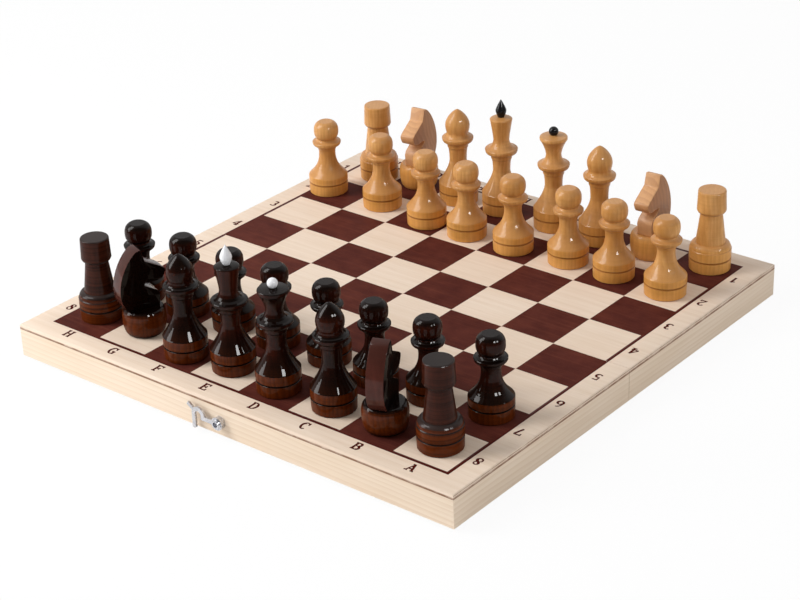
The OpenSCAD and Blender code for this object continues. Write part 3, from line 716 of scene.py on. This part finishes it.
def add_glyph(bm, mark, x, y, upright):
    """One letter or digit centred on a point; upright is for the near player."""
    turn = 0 if upright else math.pi
    place = (
        Matrix.Translation((x, y, 0))
        @ Matrix.Rotation(turn, 4, "Z")
        @ Matrix.Scale(LETTER_H, 4)
        @ Matrix.Translation((-GLYPH_W / 2, -0.5, 0))
    )
    for i, (points, thickness) in enumerate(GLYPHS[mark]):
        add_stroke(bm, points, thickness, place, TOP_Z + INK_LIFT + i * STEP_LIFT)


def add_lettering(ink):
    """File letters and rank digits in the borders, one piece for each half."""
    for body, side in (("near_half", -1), ("far_half", 1)):
        bm = bmesh.new()
        for i, letter in enumerate(FILES):
            x = (i - MIDDLE) * SQUARE
            add_glyph(bm, letter, x, side * BORDER_Y, upright=side < 0)
        ranks = [(r, d) for r, d in enumerate(RANKS) if (r < MIDDLE) == (side < 0)]
        for r, digit in ranks:
            y = (r - MIDDLE) * SQUARE
            add_glyph(bm, digit, -BORDER_X, y, upright=True)
            add_glyph(bm, digit, BORDER_X, y, upright=False)
        piece = new_piece(body.split("_")[0] + "_lettering", bm, [ink], body)


# --------------------------------------------------------------------- board

PANEL_EASE = 0.55 * MM
HEAD_EASE = 1.1 * MM
# creases sharper than these, in degrees, stay sharp
PANEL_CREASE = 40
HEAD_CREASE = 50
# a face that points up or down less than this is a panel's cut edge
UPRIGHT = 0.3


def on_top_rim(point):
    outside = max(abs(point.x), abs(point.y)) > BOARD_HALF - NEAR
    return outside and point.z > TOP_Z - NEAR


def top_rim(edge):
    """Upper edges of the box's outside, not those that meet another piece."""
    return all(on_top_rim(v.co) for v in edge.verts)


def dress_panels(face_wood, edge_wood):
    """The panels, their upper edges sanded round and their plies showing at the sides."""
    for half in ("near", "far"):
        node = half + "_panel"
        bm = eased(node, PANEL_EASE, 3, top_rim)
        for face in bm.faces:
            face.material_index = int(abs(face.normal.z) < UPRIGHT)
        piece = new_piece(half + "_playing_panel", bm, [face_wood, edge_wood], body_of(node))
        keep_creases(piece, PANEL_CREASE)
        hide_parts(node)


def dress_knight_heads(light_woods, dark_woods):
    """The heads, sanded round; their woods are that of the sawn edges and a darker copy for the
    flat sides, painted shade.
    """
    for colour, woods in (("white", light_woods), ("black", dark_woods)):
        for file in "gb":
            node = f"{colour}_knight_head_{file}"
            bm = eased(node, HEAD_EASE, 4)
            for face in bm.faces:
                face.material_index = int(face.calc_area() > SIDE_AREA)
            piece = new_piece(f"{colour}_knight_carved_{file}", bm, woods, body_of(node))
            keep_creases(piece, HEAD_CREASE)
            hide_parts(node)


def assign(node, material):
    """Give the whole node one material."""
    for slot in NODES[node].material_slots:
        slot.material = material


def dress_nodes(looks):
    """CAD pieces take their slot's look; rails, dark rooks and knights' feet have their own."""
    for name, node in NODES.items():
        slot = node.material_slots[0].material.name.split(".")[0]
        if slot == "rail_pine":
            lengthwise = "left" in name or "right" in name
            assign(name, looks["pine_y"] if lengthwise else looks["pine_x"])
        elif name.startswith("black_rook"):
            assign(name, looks["dark_rook"])
        elif "knight_foot" in name:
            assign(name, looks[name[:-2]])
        elif slot in looks:
            assign(name, looks[slot])


# -------------------------------------------------------------------- studio

# where the photographer's camera stood, seen from the target that it aims at
AZIMUTH = math.radians(39.69)
ELEVATION = math.radians(26.88)
DISTANCE = 33.71 * SQUARE
ROLL = math.radians(-2.14)
TARGET = Vector((3.45 * MM, -6.84 * MM, TOP_Z))
# its lens and sensor, in millimetres, and how far it sees, in metres
LENS = 93.03
SENSOR = 36
SIGHT = 20
# lamps are placed as that camera sees the board, and aim at its middle
TO_CAMERA = Vector((math.sin(AZIMUTH), -math.cos(AZIMUTH), 0))
TO_RIGHT = Vector((math.cos(AZIMUTH), math.sin(AZIMUTH), 0))
UP = Vector((0, 0, 1))
LAMP_AIM = Vector((0, 0, 30 * MM))
# the floor lies a hair under the board; FLOOR_CLEAR of the white behind it shows through
FLOOR_Z = -0.2 * MM
FLOOR_HALF = 3.0
FLOOR_TONE = (0.92, 0.92, 0.92, 1)
FLOOR_CLEAR = 0.93
# the room's fill light, and how bright it looks in reflections away from the white sweep
FILL = 0.45
ROOM = 0.12
# the sweep rises behind the board; how squarely a reflection meets it where it begins
# and where it is full
SWEEP_RISE = 0.35
SWEEP_SIDE = (UP * SWEEP_RISE - TO_CAMERA).normalized()
SWEEP_EDGE = (-0.1, 0.55)


def add_floor():
    """A floor nearly clear to the camera, so that only a light shadow shows on the white."""
    material = bpy.data.materials.new("studio_floor")
    material.use_nodes = True
    tree = material.node_tree
    tree.nodes.remove(tree.nodes["Principled BSDF"])
    paint = Nodes(tree)
    to_camera = paint.node("LightPath", {}, output="Is Camera Ray")
    matte = paint.node("BsdfDiffuse", {"Color": FLOOR_TONE})
    clear = paint.node("BsdfTransparent", {})
    share = paint.times(to_camera, FLOOR_CLEAR)
    surface = paint.node("MixShader", {0: share, 1: matte, 2: clear})
    paint.feed(tree.nodes["Material Output"].inputs["Surface"], surface)
    bm = bmesh.new()
    bmesh.ops.create_grid(bm, x_segments=1, y_segments=1, size=FLOOR_HALF)
    mesh = bpy.data.meshes.new("studio_floor")
    bm.to_mesh(mesh)
    bm.free()
    mesh.materials.append(material)
    floor = bpy.data.objects.new("studio_floor", mesh)
    floor.location.z = FLOOR_Z
    bpy.context.scene.collection.objects.link(floor)


def set_world():
    """White to the eye, a plain fill light, and in reflections a white sweep in a dim room."""
    world = bpy.data.worlds.new("studio")
    bpy.context.scene.world = world
    world.use_nodes = True
    back = world.node_tree.nodes["Background"]
    back.inputs["Color"].default_value = (1, 1, 1, 1)
    room = Nodes(world.node_tree)
    way = room.node("TexCoord", {}, output="Generated")
    toward = {0: way, 1: SWEEP_SIDE}
    facing = room.node("VectorMath", toward, output="Value", operation="DOT_PRODUCT")
    sweep = room.smooth_ramp(facing, *SWEEP_EDGE, ROOM, 1.0)
    to_camera = room.node("LightPath", {}, output="Is Camera Ray")
    through = room.node("LightPath", {}, output="Is Transmission Ray")
    plain = room.smooth_ramp(room.math("MAXIMUM", to_camera, through), 0, 1, FILL, 1.0)
    mirrored = room.node("LightPath", {}, output="Is Glossy Ray")
    room.feed(back.inputs["Strength"], room.node("Mix", {0: mirrored, 2: plain, 3: sweep}))


def add_softbox(name, spot, size, watts, glossy_only=False):
    """A rectangular lamp; a glossy-only one shows as a highlight and lights nothing matte."""
    light = bpy.data.lights.new(name, "AREA")
    light.shape = "RECTANGLE"
    light.size, light.size_y = size
    light.energy = watts
    lamp = bpy.data.objects.new(name, light)
    lamp.location = spot
    lamp.rotation_mode = "QUATERNION"
    lamp.rotation_quaternion = (LAMP_AIM - spot).to_track_quat("-Z", "Y")
    lamp.visible_diffuse = not glossy_only
    bpy.context.scene.collection.objects.link(lamp)


def studio_spot(right, nearer, up):
    """A place in metres, as the camera sees it: to its right, towards it and up."""
    return TO_RIGHT * right + TO_CAMERA * nearer + UP * up


def add_lamps():
    """A key lamp at the left and a side lamp at the right, and two for highlights alone."""
    key_spot = studio_spot(-1.0, 0.0, 0.77)
    key_size = (0.5, 1.1)
    add_softbox("key", key_spot, key_size, 15.5)
    add_softbox("side", studio_spot(1.5, 1.0, 1.2), (0.4, 0.16), 7)
    add_softbox("shine", key_spot, key_size, 9, glossy_only=True)
    add_softbox("spark", studio_spot(0.8, 1.4, 1.2), (0.5, 0.25), 15, glossy_only=True)


def add_camera():
    """The camera at its distance, looking at its target and rolled a little."""
    data = bpy.data.cameras.new("photo_camera")
    data.lens = LENS
    data.sensor_width = SENSOR
    data.clip_end = SIGHT
    camera = bpy.data.objects.new("photo_camera", data)
    away = TO_CAMERA * math.cos(ELEVATION) + UP * math.sin(ELEVATION)
    camera.location = TARGET + away * DISTANCE
    camera.rotation_mode = "QUATERNION"
    level = (-away).to_track_quat("-Z", "Y")
    roll = Matrix.Rotation(ROLL, 3, "Z").to_quaternion()
    camera.rotation_quaternion = level @ roll
    bpy.context.scene.collection.objects.link(camera)
    bpy.context.scene.camera = camera


# ---------------------------------------------------------------------- make

def all_looks():
    """The materials, most of them under the name of their slot in the record."""
    return {
        "panel_birch": birch(),
        "board_print": field_print(),
        "pine_x": pine("rail_pine_long", 0),
        "pine_y": pine("rail_pine_side", 1),
        "light_lacquer": turned_wood("light_lacquer", HONEY, HONEY_SHARES),
        "dark_lacquer": turned_wood("dark_lacquer", TREACLE, TREACLE_SHARES),
        "dark_rook": turned_wood("dark_lacquer_rook", TREACLE | DRY_TONES_WITH_TOP_REFLECTION, TREACLE_SHARES | DRY),
        "white_knight_foot": turned_wood("light_lacquer_knight", HONEY, HONEY_SHARES | PLAIN),
        "black_knight_foot": turned_wood("dark_lacquer_knight", TREACLE, TREACLE_SHARES | PLAIN),
        "black_knight_side": turned_wood(
            "dark_lacquer_shaded_side", TREACLE | BLACK_SHADED_SIDE_TONES, TREACLE_SHARES | PLAIN
        ),
        "black_knight_edge": turned_wood(
            "dark_lacquer_edge", TREACLE | SAWN_TONES, TREACLE_SHARES | SAWN
        ),
        "knight_bare": bare_wood("knight_bare", BARE_PALE, BARE_RING),
        "knight_side": bare_wood("knight_bare_shaded_side", SHADED_SIDE_PALE, SHADED_SIDE_RING),
        "top_black": glossy_paint("top_black", srgb(20, 17, 18), srgb(10, 9, 10), 0.3),
        "top_white": glossy_paint("top_white", srgb(236, 236, 238), srgb(222, 223, 227), 0.7),
        "hinge_steel": steel("hinge_steel", srgb(190, 188, 182), srgb(150, 146, 138), 0.34),
        "latch_steel": steel("latch_steel", srgb(204, 205, 210), srgb(170, 170, 174), 0.2),
    }


def make():
    looks = all_looks()
    dress_nodes(looks)
    dress_panels(looks["panel_birch"], ply_edge())
    dress_knight_heads(
        [looks["knight_bare"], looks["knight_side"]],
        [looks["black_knight_edge"], looks["black_knight_side"]],
    )
    add_lettering(looks["board_print"])
    add_floor()
    set_world()
    add_lamps()
    add_camera()
    bpy.context.scene.view_settings.view_transform = "Standard"


make()
